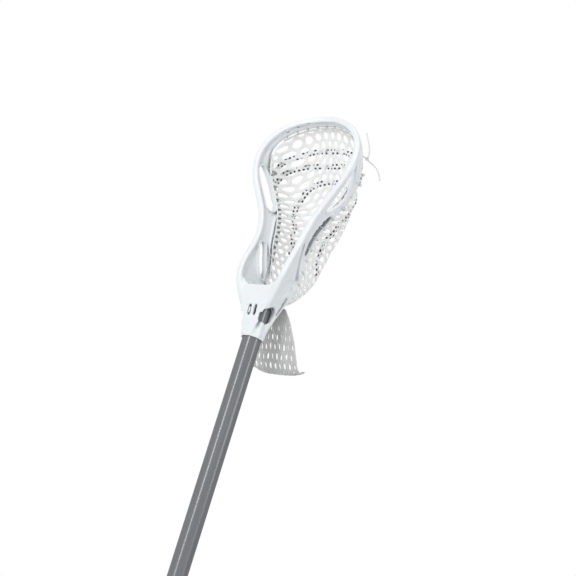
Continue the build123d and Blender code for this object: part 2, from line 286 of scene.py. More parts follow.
def eight_sided(flats, corner):
    """Outline of an eight-sided bar with rounded corners, as (x, y)."""
    outline = []
    centre = (flats / 2 - corner) / math.cos(math.pi / 8)
    for index in range(8):
        middle = math.pi / 8 + index * math.pi / 4
        for step in range(CORNER_STEPS + 1):
            turn = middle + (step / CORNER_STEPS - 0.5) * math.pi / 4
            x = centre * math.cos(middle) + corner * math.cos(turn)
            y = centre * math.sin(middle) + corner * math.sin(turn)
            outline.append((x, y))
    return outline


def mesh_piece(name, points, faces):
    """New object from points and faces, alone in the selection."""
    mesh = bpy.data.meshes.new(name)
    mesh.from_pydata([tuple(point) for point in points], [], faces)
    mesh.update()
    piece = bpy.data.objects.new(name, mesh)
    bpy.context.collection.objects.link(piece)
    bpy.ops.object.select_all(action="DESELECT")
    piece.select_set(True)
    bpy.context.view_layer.objects.active = piece
    return piece


low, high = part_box("shaft")
outside = eight_sided(SHAFT_FLATS, CORNER_ROUND)
inside = eight_sided(SHAFT_FLATS - 2 * SHAFT_WALL, CORNER_ROUND - SHAFT_WALL)
count = len(outside)
points = []
for outline in (outside, inside):
    for z in (low[2], high[2]):
        points += [(x, y, z) for x, y in outline]
# The four walls are the outside, the inside and the tube's two ends, from ring to ring.
faces = []
for index in range(count):
    after = (index + 1) % count
    for ring, other in ((0, 1), (3, 2), (2, 0), (1, 3)):
        a, b = index + ring * count, after + ring * count
        c, d = index + other * count, after + other * count
        faces.append((a, b, d, c))
shaft = mesh_piece("shaft_tube", points, faces)
bpy.ops.object.shade_smooth()
shaft.data.set_sharp_from_angle(angle=math.radians(SHARP_EDGE))
anodised, nodes, shader = new_material("satin_anodised_aluminium")
set_finish(shader, Metallic=0.6, Roughness=0.33, Coat_Weight=0.25, Coat_Roughness=0.2)
place = add_node(nodes, "ShaderNodeTexCoord")
# Drawing lines run along the tube, about 1 mm apart with finer ones between, and far
# longer than they are wide. The blasting's grit is finer still, and softens the gloss.
drawn = add_node(nodes, "ShaderNodeMapping", i0=place.outputs["Object"], Scale=(1, 1, 0.012))
lines = add_node(nodes, "ShaderNodeTexNoise", Vector=drawn.outputs[0], Scale=900, Detail=3)
grit = add_node(nodes, "ShaderNodeTexNoise", Vector=place.outputs["Object"], Scale=2600, Detail=2)
shade = add_node(nodes, "ShaderNodeValToRGB", i0=lines.outputs[0])
shade.color_ramp.elements[0].position = 0.3
shade.color_ramp.elements[0].color = colour("7B7D80")
shade.color_ramp.elements[1].position = 0.7
shade.color_ramp.elements[1].color = colour("87898C")
nodes.links.new(shade.outputs[0], shader.inputs["Base Color"])
bump = add_node(nodes, "ShaderNodeBump", Height=grit.outputs[0], Strength=0.12, Distance=0.0002)
nodes.links.new(bump.outputs[0], shader.inputs["Normal"])
shaft.data.materials.append(anodised)
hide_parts("shaft")
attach(shaft, "stick")

# --- The end cap -----------------------------------------------------------------------
# Moulded black rubber cup, pulled over the butt. Rubber scatters light, and its skin has
# the fine grain of the spark-eroded mould.
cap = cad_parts["end_cap"]


def give_finish(piece, material):
    """Makes this the piece's only material."""
    piece.data.materials.clear()
    piece.data.materials.append(material)


rubber, nodes, shader = new_material("moulded_black_rubber")
set_finish(shader, Roughness=0.68, IOR=1.52)
place = add_node(nodes, "ShaderNodeTexCoord")
grain = add_node(nodes, "ShaderNodeTexNoise", Vector=place.outputs["Object"], Scale=1400, Detail=4)
tone = add_node(
    nodes, "ShaderNodeMix", {"data_type": "RGBA"},
    i0=grain.outputs[0], i6=colour("1E1F20"), i7=colour("2B2C2D"),
)
nodes.links.new(tone.outputs[2], shader.inputs["Base Color"])
bump = add_node(nodes, "ShaderNodeBump", Height=grain.outputs[0], Strength=0.35, Distance=0.0003)
nodes.links.new(bump.outputs[0], shader.inputs["Normal"])
give_finish(cap, rubber)

# --- The head's screw ------------------------------------------------------------------
# Zinc-plated steel screw with a hexagon socket, driven through the back of the throat.
# The plating is bright, with a faint cloudiness from the bath.
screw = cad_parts["head_screw"]
zinc, nodes, shader = new_material("zinc_plated_steel")
set_finish(shader, Metallic=1.0, Roughness=0.3)
place = add_node(nodes, "ShaderNodeTexCoord")
cloud = add_node(nodes, "ShaderNodeTexNoise", Vector=place.outputs["Object"], Scale=700, Detail=3)
tone = add_node(
    nodes, "ShaderNodeMix", {"data_type": "RGBA"},
    i0=cloud.outputs[0], i6=colour("A9ACAF"), i7=colour("C6C9CC"),
)
nodes.links.new(tone.outputs[2], shader.inputs["Base Color"])
give_finish(screw, zinc)

# --- The head --------------------------------------------------------------------------
# One injection moulding in white nylon: scoop, two sidewalls with windows, ball stop and
# the throat that takes the shaft. Its edges are rounded, as a mould leaves them.
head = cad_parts["head"]
# The windows' outlines in the sidewall, as (y, z) in millimetres from the datum.
WINDOW_TOP = [
    (-3.5, 250), (-1.5, 236), (0.5, 222), (2.5, 206), (4, 191), (12, 190),
    (19, 197), (24, 210), (23.5, 222), (18, 236), (9, 250), (1, 257),
]
WINDOW_MIDDLE = [
    (24, 195), (17, 181), (13, 166), (11, 150), (11, 139), (12.5, 128),
    (16, 127), (17, 140), (18.5, 155), (21, 170), (24.5, 184),
]
WINDOW_LOW = [
    (-3.5, 139), (-2.8, 124), (1.5, 107), (8, 93), (13, 89), (16.5, 93),
    (12.5, 106), (8, 119), (5, 132), (2, 140),
]
# The flange round each window: its thickness, and how far it stands out and in from the
# sidewall's outside, which is measured a little way off the window's edge.
COLLAR_WALL = 2.0 * MM
COLLAR_OUT = 1.4 * MM
COLLAR_IN = 7.4 * MM
COLLAR_PROBE = 2.0
# A measuring ray starts this far out in millimetres, and is taken to have gone through an
# opening where it meets the head nearer to the middle than this.
CLEAR_OF_HEAD = 120
SHALLOWEST = 0.02


def surface_of(node):
    """Search tree of a CAD node's surface, for finding places on it."""
    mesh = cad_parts[node].data
    corners = [vertex.co.copy() for vertex in mesh.vertices]
    return BVHTree.FromPolygons(corners, [tuple(face.vertices) for face in mesh.polygons])


head_surface = surface_of("head")


def rounded(outline, rounds=2):
    """Closed outline with its corners cut again and again, which rounds them."""
    for _ in range(rounds):
        finer = []
        for here, after in zip(outline, outline[1:] + outline[:1]):
            finer.append(tuple(0.75 * a + 0.25 * b for a, b in zip(here, after)))
            finer.append(tuple(0.25 * a + 0.75 * b for a, b in zip(here, after)))
        outline = finer
    return outline


def grown(outline, by):
    """Outline in (y, z) moved outwards by a distance, in millimetres."""
    moved = []
    count = len(outline)
    middle = Vector((sum(p[0] for p in outline) / count, sum(p[1] for p in outline) / count))
    for index in range(count):
        before = Vector(outline[index - 1])
        here = Vector(outline[index])
        after = Vector(outline[(index + 1) % count])
        run = (after - before).normalized()
        out = Vector((run.y, -run.x))
        if out.dot(here - middle) < 0:
            out = -out
        moved.append(here + out * by)
    return [(p.x, p.y) for p in moved]


def collar(outline, side):
    """Flange round one window, as deep as the sidewall's rails are wide."""
    inner = rounded(outline)
    outer = grown(inner, COLLAR_WALL / MM)
    count = len(inner)
    walls = []
    for y, z in grown(inner, COLLAR_PROBE):
        place = head_surface.ray_cast(placed(side * CLEAR_OF_HEAD, y, z), Vector((-side, 0, 0)))[0]
        near = place and place.x * side > SHALLOWEST
        walls.append(place.x * side if near else walls[-1])
    points = []
    for ring in (inner, outer):
        for wall, (y, z) in zip(walls, ring):
            for depth in (-COLLAR_IN, COLLAR_OUT):
                point = placed(0, y, z)
                point.x = side * (wall + depth)
                points.append(point)
    faces = []
    for index in range(count):
        a = 2 * index
        b = 2 * ((index + 1) % count)
        far = 2 * count
        faces += [
            (a, b, b + 1, a + 1),
            (a + far, a + far + 1, b + far + 1, b + far),
            (a + 1, b + 1, b + far + 1, a + far + 1),
            (a, a + far, b + far, b),
        ]
    return mesh_piece("window_collar", points, faces)


collars = []
for side in (1, -1):
    for outline in (WINDOW_TOP, WINDOW_MIDDLE, WINDOW_LOW):
        collars.append(collar(outline, side))

moulding = bpy.data.objects.new("head_moulding", head.data.copy())
bpy.context.collection.objects.link(moulding)


def select_only(*pieces):
    """Makes these the only selected pieces, the first of them active."""
    bpy.ops.object.select_all(action="DESELECT")
    for piece in pieces:
        piece.select_set(True)
    bpy.context.view_layer.objects.active = pieces[0]


def apply(piece, kind, **settings):
    """Adds a modifier with its settings and applies it."""
    select_only(piece)
    modifier = piece.modifiers.new(kind.lower(), kind)
    for name, value in settings.items():
        setattr(modifier, name, value)
    bpy.ops.object.modifier_apply(modifier=modifier.name)


def merge_triangles(piece):
    """Merges the loose triangles of a copied CAD node into one closed surface."""
    select_only(piece)
    bpy.ops.object.mode_set(mode="EDIT")
    bpy.ops.mesh.select_all(action="SELECT")
    bpy.ops.mesh.remove_doubles(threshold=0.00001)
    bpy.ops.object.mode_set(mode="OBJECT")


def turn_faces_out(piece):
    """Points all faces of a closed piece outwards."""
    select_only(piece)
    bpy.ops.object.mode_set(mode="EDIT")
    bpy.ops.mesh.select_all(action="SELECT")
    bpy.ops.mesh.normals_make_consistent(inside=False)
    bpy.ops.object.mode_set(mode="OBJECT")


merge_triangles(moulding)
for piece in collars:
    turn_faces_out(piece)
select_only(moulding, *collars)
bpy.ops.object.join()
VOXEL = 1.0 * MM
apply(moulding, "REMESH", mode="VOXEL", voxel_size=VOXEL, use_smooth_shade=True)


def drill(piece, cutter):
    """Cuts the cutter out of the piece and throws the cutter away."""
    apply(piece, "BOOLEAN", operation="DIFFERENCE", solver="EXACT", object=cutter)
    bpy.data.objects.remove(cutter)


# The web above the socket is thinner, and a narrow groove runs down beside the back rail.
THIN_WEB = [(-12, 56), (0, 58), (8, 66), (12, 76), (12, 88), (0, 86), (-10, 78), (-13, 66)]
THIN_WEB_DEPTH = 1.3 * MM
GROOVE = [(13.5, 66), (12.5, 55), (11.2, 45), (9.8, 37), (7.6, 37), (8.6, 46), (10, 56), (11, 66)]
GROOVE_DEPTH = 3.4 * MM
# How far a cutter stands out of the surface that it cuts.
CUTTER_REACH = 6 * MM


def hollow(outline, side, depth):
    """Cuts a shallow hollow of one outline into the sidewall's outside."""
    count = len(outline)
    points = []
    for y, z in outline:
        place = head_surface.ray_cast(placed(side * CLEAR_OF_HEAD, y, z), Vector((-side, 0, 0)))[0]
        for reach in (-depth, CUTTER_REACH):
            point = placed(0, y, z)
            point.x = place.x + side * reach
            points.append(point)
    faces = [tuple(range(0, 2 * count, 2)), tuple(range(2 * count - 1, 0, -2))]
    for index in range(count):
        a = 2 * index
        b = 2 * ((index + 1) % count)
        faces.append((a, a + 1, b + 1, b))
    cutter = mesh_piece("cutter", points, faces)
    turn_faces_out(cutter)
    drill(moulding, cutter)


for side in (1, -1):
    hollow(rounded(THIN_WEB), side, THIN_WEB_DEPTH)
    hollow(rounded(GROOVE), side, GROOVE_DEPTH)

# Six holes through the scoop take the string that ties the top of the mesh. They follow
# the scoop's edge, which comes forward and tilts towards its ends.
HOLE_PLACES = (24, 40, 54)
HOLE_RADIUS = 0.0017
DRILL_LENGTH = 0.03
HOLE_BACK = 6
HOLE_FORWARD = -0.06
HOLE_TILT = 0.55
ABOVE_SCOOP = 400
for x in HOLE_PLACES:
    for side in (1, -1):
        start = placed(side * x, HOLE_BACK + x * HOLE_FORWARD, ABOVE_SCOOP)
        place = head_surface.ray_cast(start, Vector((0, 0, -1)))[0]
        bpy.ops.mesh.primitive_cylinder_add(
            vertices=20, radius=HOLE_RADIUS, depth=DRILL_LENGTH, location=place
        )
        cutter = bpy.context.object
        cutter.rotation_euler = (0, side * math.radians(x * HOLE_TILT), 0)
        drill(moulding, cutter)

apply(moulding, "REMESH", mode="VOXEL", voxel_size=VOXEL, use_smooth_shade=True)
apply(moulding, "SMOOTH", factor=0.5, iterations=5)

# Nylon: white with a cool cast, slightly translucent, and glossy where the mould was
# polished; a very fine unevenness keeps the gloss from looking like glass.
nylon, nodes, shader = new_material("moulded_white_nylon")
set_finish(shader, Roughness=0.33, IOR=1.53, Subsurface_Weight=0.12, Subsurface_Scale=0.004)
place = add_node(nodes, "ShaderNodeTexCoord")
flow = add_node(nodes, "ShaderNodeTexNoise", Vector=place.outputs["Object"], Scale=45, Detail=2)
tone = add_node(
    nodes, "ShaderNodeMix", {"data_type": "RGBA"},
    i0=flow.outputs[0], i6=colour("E7ECEF"), i7=colour("EFF1F3"),
)
# Painted shade: the base colour turns a cool grey in deep edges and the hollows between the rails, as
# far as each spot is hidden.
corners = add_node(nodes, "ShaderNodeAmbientOcclusion", Distance=0.016)
depth = add_node(
    nodes, "ShaderNodeMapRange", Value=corners.outputs["AO"], From_Min=0.2, From_Max=0.78
)
shaded = add_node(
    nodes, "ShaderNodeMix", {"data_type": "RGBA"},
    i0=depth.outputs[0], i6=colour("7C8A91"), i7=tone.outputs[2],
)
nodes.links.new(shaded.outputs[2], shader.inputs["Base Color"])
skin = add_node(nodes, "ShaderNodeTexNoise", Vector=place.outputs["Object"], Scale=900, Detail=2)
bump = add_node(nodes, "ShaderNodeBump", Height=skin.outputs[0], Strength=0.06, Distance=0.0003)
nodes.links.new(bump.outputs[0], shader.inputs["Normal"])
give_finish(moulding, nylon)
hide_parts("head")
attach(moulding, "stick")

# --- The ball stop's pad ---------------------------------------------------------------
# Strip of closed-cell foam, glued into the curve of the ball stop to soften the ball.
# It is skinned and matt, with rounded edges.
pad = bpy.data.objects.new("stop_pad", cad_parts["ball_stop_pad"].data.copy())
bpy.context.collection.objects.link(pad)
merge_triangles(pad)
PAD_VOXEL = 0.8 * MM
apply(pad, "REMESH", mode="VOXEL", voxel_size=PAD_VOXEL, use_smooth_shade=True)
apply(pad, "SMOOTH", factor=0.5, iterations=8)
# The foam's skin is matt and faintly pebbled by its cells, about 0.8 mm apart.
foam, nodes, shader = new_material("closed_cell_foam")
set_finish(shader, Roughness=0.85, IOR=1.45)
place = add_node(nodes, "ShaderNodeTexCoord")
cells = add_node(nodes, "ShaderNodeTexVoronoi", Vector=place.outputs["Object"], Scale=1300)
tone = add_node(
    nodes, "ShaderNodeMix", {"data_type": "RGBA"},
    i0=cells.outputs["Distance"], i6=colour("CBD0CE"), i7=colour("DDE2E0"),
)
nodes.links.new(tone.outputs[2], shader.inputs["Base Color"])
bump = add_node(
    nodes, "ShaderNodeBump", Height=cells.outputs["Distance"], Strength=0.3, Distance=0.0003
)
nodes.links.new(bump.outputs[0], shader.inputs["Normal"])
give_finish(pad, foam)
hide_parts("ball_stop_pad")
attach(pad, "stick")

# --- The pocket ------------------------------------------------------------------------
# Ten-cell hard mesh, knitted from waxed polyester tape in one open hexagonal net. It is
# tied along the back rails and the scoop, and its own weight and the ball have bagged it.
pocket_surface = surface_of("pocket_mesh")
CELLS = 10
ROWS = 29
STRAND = 3.7 * MM
NET_THICKNESS = 1.7 * MM
CELL_WIDTH = 14.7 * MM
ROW_HEIGHT = 10.8 * MM
# How far the cells' corners stray, in shares of half a cell across and a third of a row.
UNEVEN = 0.28
# Thirds of a row next to the net's ends that keep their places.
FIRM_ROWS = 4
# The net's side edges lie forward along the inside of the back rails by this much.
EDGE_LAP = 12.5 * MM
# The pocket's lowest and highest rows. Heights are in millimetres above the datum.
POCKET_LOW = 55.0
POCKET_HIGH = 320.0
# The rows hang lower at the rails than in the middle, as much as the laces do.
SAG = 38.0
SAG_FROM = 100.0
SAG_FULL = 265.0
# Above this height the rows turn from the rails' line to the scoop's.
SCOOP_FROM = 284.0
SCOOP_HALF = 66.0
# The scoop's rail lies this far back at its middle, and this much less at its ends.
SCOOP_BACK = 15.5
SCOOP_CURVE = 9.5
BELOW_SCOOP = 262
# The net's top row hangs this far below the rail and behind it.
UNDER_RAIL = 0.0016
BEHIND_RAIL = 0.003
# A level ray finds the pocket's edge between these two places, in steps; the last value
# stands in where it finds none.
RIM_FIRST = -0.002
RIM_LAST = 0.05
RIM_SCAN = 0.0004
RIM_ELSE = 0.02


def smooth_step(value, low, high):
    """Rises smoothly from 0 to 1 as the value goes from low to high."""
    share = min(max((value - low) / (high - low), 0), 1)
    return share * share * (3 - 2 * share)


def rim_of_pocket(height):
    """y of the pocket's edge at a height: the first y at which a level ray meets it."""
    y = RIM_FIRST
    start = placed(0, 0, height)
    while y < RIM_LAST:
        start.y = y
        if pocket_surface.ray_cast(start, Vector((1, 0, 0)))[0]:
            return y
        y += RIM_SCAN
    return RIM_ELSE


RIM_STEP = 2.5
rims = []
height = POCKET_LOW
while height <= POCKET_HIGH + RIM_STEP:
    rims.append(rim_of_pocket(min(height, POCKET_HIGH)))
    height += RIM_STEP


def rim_at(height):
    """y of the pocket's edge at any height, between the measured ones."""
    share = min(max((height - POCKET_LOW) / RIM_STEP, 0), len(rims) - 1.001)
    index = int(share)
    return rims[index] + (rims[index + 1] - rims[index]) * (share - index)


# Rays to the wall turn no further than this, and start this far behind the edge.
WIDEST_TURN = 89.5
BEHIND_EDGE = 0.0006


def on_pocket(degrees, height):
    """Point in the middle of the pocket's wall; 0 degrees is its deepest line."""
    height = min(max(height, POCKET_LOW - 0.5), POCKET_HIGH)
    turn = math.radians(max(min(degrees, WIDEST_TURN), -WIDEST_TURN))
    start = placed(0, 0, height)
    start.y = rim_at(height) + BEHIND_EDGE
    way = Vector((math.sin(turn), math.cos(turn), 0))
    place = pocket_surface.ray_cast(start, way)[0]
    return place + way * MM if place else start


# The deepest line is measured along itself, so that the rows are spaced as in flat mesh.
LINE_STEPS = 106
deepest = [(0.0, POCKET_LOW)]
last = on_pocket(0, POCKET_LOW)
for step in range(1, LINE_STEPS + 1):
    height = POCKET_LOW + (POCKET_HIGH - POCKET_LOW) * step / LINE_STEPS
    here = on_pocket(0, height)
    deepest.append((deepest[-1][0] + (here - last).length, height))
    last = here


def height_along(share):
    """Height on the deepest line at a share of its whole length."""
    want = min(max(share, 0), 1) * deepest[-1][0]
    for (low, a), (high, b) in zip(deepest, deepest[1:]):
        if want <= high:
            return a + (b - a) * (want - low) / (high - low)
    return deepest[-1][1]


def under_scoop(across):
    """Point just inside the scoop's back rail; across runs from -1 to 1."""
    start = placed(across * SCOOP_HALF, SCOOP_BACK - SCOOP_CURVE * abs(across), BELOW_SCOOP)
    place = head_surface.ray_cast(start, Vector((0, 0, 1)))[0]
    return place - Vector((0, 0, UNDER_RAIL)) + Vector((0, BEHIND_RAIL, 0))


# The cells are narrower in the middle than at the rails, by a cubic in these two shares.
EVEN_SPREAD = 0.82
RAIL_SPREAD = 0.18
# The edge lap starts this far across, and comes in between these two heights.
LAP_FROM = 0.78
LAP_LOW = 90
LAP_HIGH = 160
# Cells whose square of across is under this are drawn onto the pocket's wall.
ON_WALL = 0.7


def pocket_place(across, along):
    """Place of the net's point; across from -1 to 1, along from 0 at the throat to 1."""
    middle = height_along(along)
    drop = SAG * smooth_step(middle, SAG_FROM, SAG_FULL)
    spaced = across * (EVEN_SPREAD + RAIL_SPREAD * across * across)
    low = on_pocket(90 * spaced, middle - drop * across * across)
    lap = smooth_step(abs(across), LAP_FROM, 1.0) * smooth_step(middle, LAP_LOW, LAP_HIGH)
    low = low - Vector((0, EDGE_LAP * lap, 0))
    share = smooth_step(middle, SCOOP_FROM, POCKET_HIGH)
    if share == 0:
        return low
    high = under_scoop(across)
    mixed = low.lerp(high, share)
    snapped = pocket_surface.find_nearest(mixed)[0]
    if across * across < ON_WALL:
        return snapped.lerp(high, share * share * share)
    return mixed


# The rows are spread evenly over the deepest line as it really runs, up under the scoop.
RUN_STEPS = 120
lengths = [0.0]
for step in range(RUN_STEPS):
    here, there = [pocket_place(0, (step + ahead) / RUN_STEPS) for ahead in (0, 1)]
    lengths.append(lengths[-1] + (there - here).length)


def evenly(across, along):
    """Place of the net's point, with along in shares of the line's true length."""
    want = along * lengths[-1]
    index = max(i for i in range(RUN_STEPS) if lengths[i] <= want)
    share = (want - lengths[index]) / (lengths[index + 1] - lengths[index])
    return pocket_place(across, (index + share) / RUN_STEPS)


def net(name, rows, place, strand, cell_width=CELL_WIDTH, row_height=ROW_HEIGHT):
    """Open net of staggered six-sided cells; place(across, along) puts each corner.

    Corners lie on a grid of half cells across and thirds of a row along.
    """
    chance = random.Random(name)
    corners = {}
    points = []
    flat = []
    faces = []
    deep = 3 * rows
    for row in range(rows + 1):
        odd = row % 2
        for cell in range(CELLS + odd):
            ring = []
            for dx, dy in ((0, 2), (1, 1), (1, -1), (0, -2), (-1, -1), (-1, 1)):
                x = min(max(2 * cell + 1 - odd + dx, 0), 2 * CELLS)
                y = min(max(3 * row + dy, 0), deep)
                if (x, y) not in corners:
                    corners[x, y] = len(points)
                    inner = 1 < x < 2 * CELLS - 1 and FIRM_ROWS < y < deep - FIRM_ROWS
                    stray = [chance.uniform(-UNEVEN, UNEVEN) * inner for _ in range(2)]
                    points.append(place((x + stray[0]) / CELLS - 1, (y + stray[1]) / deep))
                    flat.append((x * cell_width / 2, y * row_height / 3))
                if corners[x, y] not in ring:
                    ring.append(corners[x, y])
            if len(ring) > 3:
                faces.append(ring)
    piece = mesh_piece(name, points, faces)
    layer = piece.data.uv_layers.new(name="UVMap")
    for loop in piece.data.loops:
        layer.data[loop.index].uv = flat[loop.vertex_index]
    bpy.ops.object.mode_set(mode="EDIT")
    bpy.ops.mesh.select_mode(type="FACE")
    bpy.ops.mesh.select_all(action="SELECT")
    bpy.ops.mesh.inset(thickness=strand / 2, use_individual=True, use_even_offset=True)
    bpy.ops.mesh.delete(type="FACE")
    bpy.ops.object.mode_set(mode="OBJECT")
    apply(piece, "SUBSURF", levels=1, render_levels=1)
    apply(piece, "SOLIDIFY", thickness=NET_THICKNESS, offset=0)
    apply(piece, "SUBSURF", levels=1, render_levels=1)
    select_only(piece)
    bpy.ops.object.shade_smooth()
    return piece


# Waxed knitted tape: short slanted stitches run along each strand, about 1 mm long and
# drawn 3 mm apart to show, and the wax leaves the yarn stiff and half matt.
knit, nodes, shader = new_material("waxed_knitted_polyester")
set_finish(
    shader, Roughness=0.5, IOR=1.5, Sheen_Weight=0.15, Sheen_Roughness=0.4,
    Subsurface_Weight=0.08, Subsurface_Scale=0.002,
)
map_of = add_node(nodes, "ShaderNodeTexCoord")
stitch = add_node(
    nodes, "ShaderNodeTexWave", {"bands_direction": "DIAGONAL"},
    Vector=map_of.outputs["UV"], Scale=150, Distortion=2.5, Detail_Scale=3,
)
uneven = add_node(nodes, "ShaderNodeTexNoise", Vector=map_of.outputs["Object"], Scale=120, Detail=3)
tone = add_node(
    nodes, "ShaderNodeMix", {"data_type": "RGBA"},
    i0=uneven.outputs[0], i6=colour("F1F1EF"), i7=colour("FBFBFA"),
)
# Painted shade: the yarn's colour darkens to grey where strands cross and lie against the rails.
crossing = add_node(nodes, "ShaderNodeAmbientOcclusion", Distance=0.006)
depth = add_node(
    nodes, "ShaderNodeMapRange", Value=crossing.outputs["AO"], From_Min=0.35, From_Max=0.85
)
shaded = add_node(
    nodes, "ShaderNodeMix", {"data_type": "RGBA"},
    i0=depth.outputs[0], i6=colour("A9ABAB"), i7=tone.outputs[2],
)
nodes.links.new(shaded.outputs[2], shader.inputs["Base Color"])
bump = add_node(nodes, "ShaderNodeBump", Height=stitch.outputs["Fac"], Strength=0.35, Distance=0.0003)
nodes.links.new(bump.outputs[0], shader.inputs["Normal"])

pocket_net = net("pocket_net", ROWS, evenly, STRAND)
pocket_net.data.materials.append(knit)
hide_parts("pocket_mesh")
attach(pocket_net, "stick")

# --- The mesh's tail -------------------------------------------------------------------
# The same mesh below the bottom string. Nothing stretches it, so its cells close to
# upright slits, and its cut corners curl.
#
# Its route down the middle, as (y, z, half width) in millimetres from the datum.
TAIL_ROUTE = [
    (24.0, 55.0, 19.0),
    (31.0, 38.0, 29.0),
    (42.0, 15.0, 36.0),
    (54.0, -9.0, 39.0),
    (63.0, -20.0, 40.0),
    (71.0, -21.0, 40.0),
    (77.0, -15.0, 39.0),
]
TAIL_ROWS = 8
TAIL_CELL = 8.0 * MM
TAIL_ROW = 10.2 * MM
TAIL_STRAND = 4.9 * MM
# Its corners curl back and up, one of them lifts, and it ripples: all in millimetres.
CURL_BACK = 3.5
CURL_UP = 5
CORNER_LIFT = 6
RIPPLE = 0.9
tail_steps = [0.0]
for (y0, z0, _), (y1, z1, _) in zip(TAIL_ROUTE, TAIL_ROUTE[1:]):
    tail_steps.append(tail_steps[-1] + math.hypot(y1 - y0, z1 - z0))


def tail_place(across, along):
    """Place of the tail's point; along runs from its lower edge up to the throat."""
    want = (1 - along) * tail_steps[-1]
    index = max(i for i in range(len(TAIL_ROUTE) - 1) if tail_steps[i] <= want)
    share = (want - tail_steps[index]) / (tail_steps[index + 1] - tail_steps[index])
    y, z, half = [a + (b - a) * share for a, b in zip(TAIL_ROUTE[index], TAIL_ROUTE[index + 1])]
    curl = smooth_step(abs(across), 0.7, 1.0) * smooth_step(1 - along, 0.72, 1.0)
    ripple = RIPPLE * math.sin(5 * across + 9 * along)
    lift = CORNER_LIFT * smooth_step(-across, 0.3, 1.0) * smooth_step(1 - along, 0.6, 1.0)
    x = half * across * (1 - 0.02 * curl)
    return placed(x, y + CURL_BACK * curl + ripple, z + CURL_UP * curl + lift)


# Slack mesh, with the knit's ribs 2.5 mm apart. Its yarn is painted greyer than the pocket's: painted
# shade, for the shade it hangs in below the head.
slack, nodes, shader = new_material("tail_knit_painted_shade")
set_finish(shader, Roughness=0.6, IOR=1.5, Sheen_Weight=0.15, Sheen_Roughness=0.4)
map_of = add_node(nodes, "ShaderNodeTexCoord")
ribs = add_node(
    nodes, "ShaderNodeTexWave", {"bands_direction": "X"},
    Vector=map_of.outputs["UV"], Scale=125, Distortion=3,
)
# Both rib tones are darker than the pocket's yarn: painted shade.
tone = add_node(
    nodes, "ShaderNodeMix", {"data_type": "RGBA"},
    i0=ribs.outputs["Fac"], i6=colour("BDBDBB"), i7=colour("E2E2E0"),
)
nodes.links.new(tone.outputs[2], shader.inputs["Base Color"])
bump = add_node(nodes, "ShaderNodeBump", Height=ribs.outputs["Fac"], Strength=0.5, Distance=0.0006)
nodes.links.new(bump.outputs[0], shader.inputs["Normal"])

tail_net = net("tail_net", TAIL_ROWS, tail_place, TAIL_STRAND, TAIL_CELL, TAIL_ROW)
tail_net.data.materials.append(slack)
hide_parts("mesh_tail")
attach(tail_net, "tail")

# --- The shooting laces ----------------------------------------------------------------
# Flat woven polyester laces, white with a black tracer yarn that comes up in dashes along
# both edges. They pass over and under the mesh's strands, and are tied off on the rails.
LACE_WIDTH = 7.4 * MM
LACE_THICKNESS = 1.5 * MM
LACE_WEAVE = 1.5 * MM
# The two straight laces: height in the middle, and how much lower their ends are.
LACE_TOP = (297.0, 30.0)
LACE_MIDDLE = (279.0, 26.0)
# The U-shaped lace, from its crossing to the end of one leg: degrees and height.
LACE_U = [
    (0, 261), (14, 260), (34, 255), (46, 246), (52, 236), (58, 222), (60, 207),
    (56, 194), (52, 180), (48, 166), (43, 152), (33, 138), (25, 122),
]
# The tracer's dashes: from one to the next along an edge, and the length of one. They
# show outside this share of the lace's width from its middle.
FLECK_STEP = 6.6 * MM
FLECK_LENGTH = 3.0 * MM
FLECK_FROM = 0.17


def swept(name, places, outs, section):
    """Tube of a section (across, out) along places; its UV map holds metres along and across."""
    count = len(section)
    points = []
    along = [0.0]
    for index, place in enumerate(places):
        ahead = places[min(index + 1, len(places) - 1)]
        behind = places[max(index - 1, 0)]
        run = (ahead - behind).normalized()
        out = (outs[index] - run * outs[index].dot(run)).normalized()
        across = run.cross(out)
        points += [place + across * a + out * o for a, o in section]
        if index:
            along.append(along[-1] + (place - places[index - 1]).length)
    faces = []
    for ring in range(len(places) - 1):
        for index in range(count):
            a = ring * count + index
            b = ring * count + (index + 1) % count
            faces.append((a, b, b + count, a + count))
    faces.append(tuple(reversed(range(count))))
    faces.append(tuple(range(len(points) - count, len(points))))
    piece = mesh_piece(name, points, faces)
    layer = piece.data.uv_layers.new(name="UVMap")
    for loop in piece.data.loops:
        ring, index = divmod(loop.vertex_index, count)
        layer.data[loop.index].uv = (along[ring], section[index][0])
    turn_faces_out(piece)
    bpy.ops.object.shade_smooth()
    return piece


def flat_section(width, thickness):
    """Flat strip with rounded edges, as (across, out) points."""
    w = width / 2
    t = thickness / 2
    return [
        (-w, 0), (-w + 0.4 * t, 0.8 * t), (-w + 1.3 * t, t), (0, 1.1 * t),
        (w - 1.3 * t, t), (w - 0.4 * t, 0.8 * t), (w, 0), (w - 0.4 * t, -0.8 * t),
        (w - 1.3 * t, -t), (0, -1.1 * t), (-w + 1.3 * t, -t), (-w + 0.4 * t, -0.8 * t),
    ]


def lace(name, node, stops):
    """Woven lace through the pocket's wall; stops are its (degrees, height) places."""
    middle = [on_pocket(degrees, height) for degrees, height in stops]
    places = []
    outs = []
    travelled = 0.0
    for index, (degrees, height) in enumerate(stops):
        run = middle[min(index + 1, len(middle) - 1)] - middle[max(index - 1, 0)]
        up_wall = on_pocket(degrees, height + 2) - on_pocket(degrees, height - 2)
        out = run.cross(up_wall).normalized()
        turn = math.radians(degrees)
        if out.dot(Vector((math.sin(turn), math.cos(turn), 0))) < 0:
            out = -out
        if index:
            travelled += (middle[index] - middle[index - 1]).length
        sway = LACE_WEAVE * math.cos(math.pi * travelled / CELL_WIDTH)
        places.append(middle[index] + out * sway)
        outs.append(out)
    piece = swept(name, places, outs, flat_section(LACE_WIDTH, LACE_THICKNESS))
    piece.data.materials.append(tracer)
    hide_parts(node)
    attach(piece, "stick")


